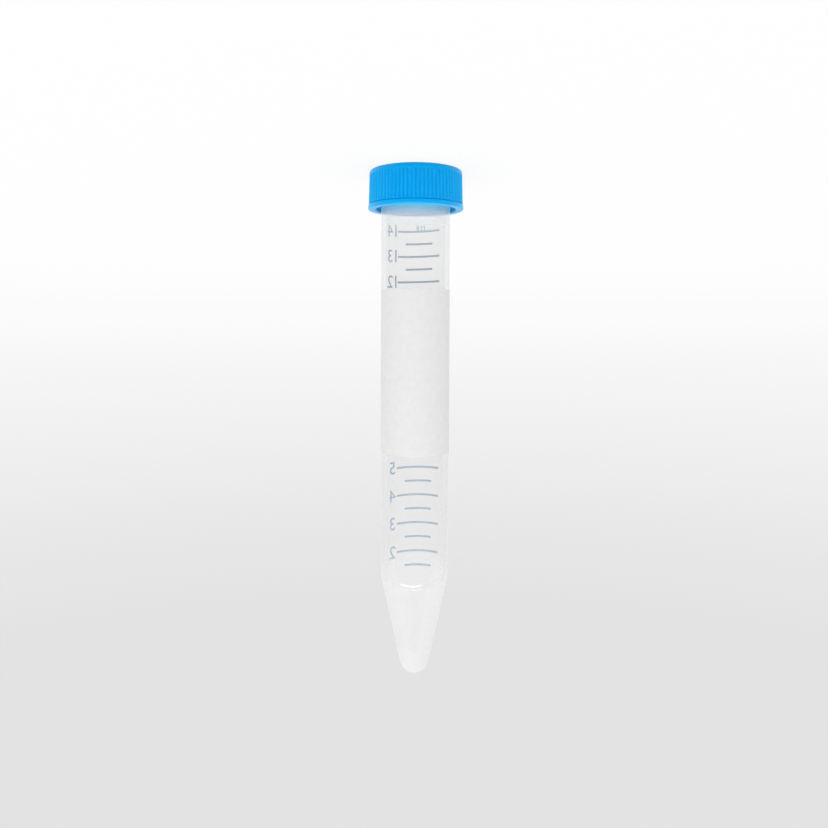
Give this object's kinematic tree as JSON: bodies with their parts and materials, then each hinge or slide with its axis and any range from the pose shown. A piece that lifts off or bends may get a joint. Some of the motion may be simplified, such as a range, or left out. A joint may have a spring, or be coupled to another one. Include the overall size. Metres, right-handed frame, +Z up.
{
  "type": "15 ml conical tube",
  "caption": "Translucent conical-bottom laboratory tube with a ribbed blue screw cap, a printed volume scale and a white writing patch, stood on its cap.",
  "frame": {"origin": "middle of the cap's flat top, on the surface that it stands on", "axes": "+Z up, along the tube's axis from the cap to the tip; the writing patch faces -Y and the scale faces +Y"},
  "size_m": [0.0226, 0.0226, 0.12],
  "materials": {
    "clear_wall": "translucent milky polypropylene, smooth with a soft sheen",
    "blue_cap": "moulded azure polyethylene, satin",
    "white_ink": "matt white screen print",
    "blue_ink": "matt blue screen print"
  },
  "bodies": {
    "cap": {"screw_cap": "blue_cap"},
    "tube": {"tube": "clear_wall", "writing_patch": "white_ink", "graduation_marks": "blue_ink"}
  },
  "joints": [
    {"name": "tube_lift", "type": "slide", "parent": "cap", "child": "tube", "axis": [0, 0, 1], "range_m": [0, 0.03]}
  ]
}
